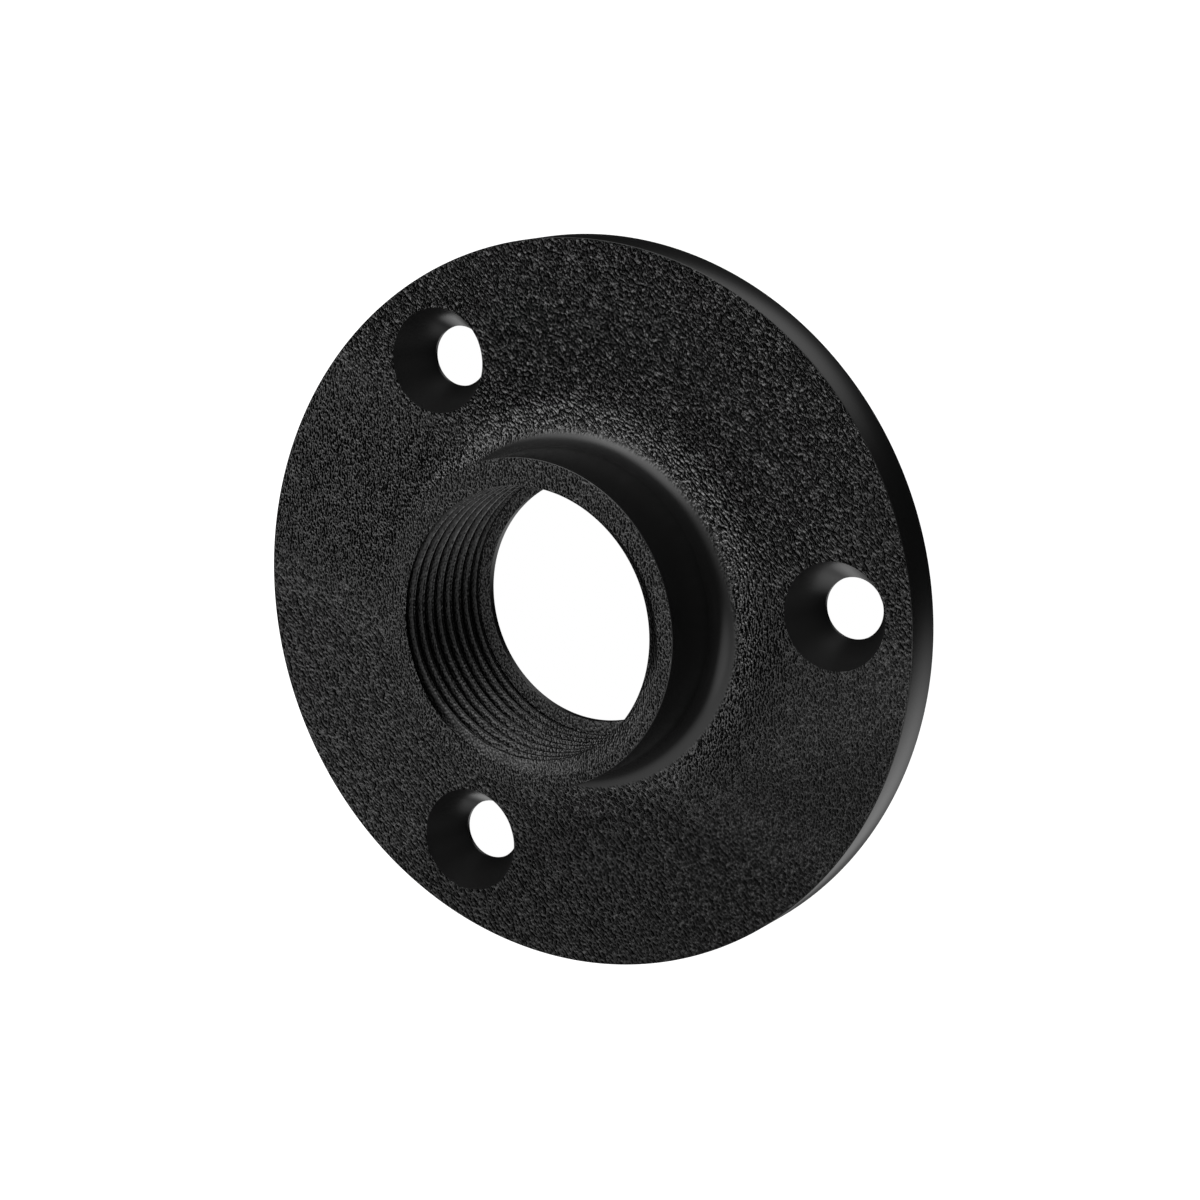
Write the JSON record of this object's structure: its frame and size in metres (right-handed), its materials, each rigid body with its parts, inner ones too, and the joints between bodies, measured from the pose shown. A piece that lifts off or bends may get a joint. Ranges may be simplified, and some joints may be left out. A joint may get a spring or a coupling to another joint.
{
  "type": "threaded floor flange",
  "caption": "Round black cast flange with a short internally threaded hub and countersunk screw holes; it fixes the end of a pipe to a floor, wall or board.",
  "frame": {"origin": "centre of the flange's back face", "axes": "+Z along the hub's axis, from the back face towards the open end of the hub; +X through the centre of one screw hole"},
  "size_m": [0.08, 0.08, 0.016],
  "materials": {
    "black_iron": "satin black, pebbled on the face and smooth on the rim and hub wall"
  },
  "bodies": {
    "root": {"flange": "black_iron"}
  },
  "joints": []
}
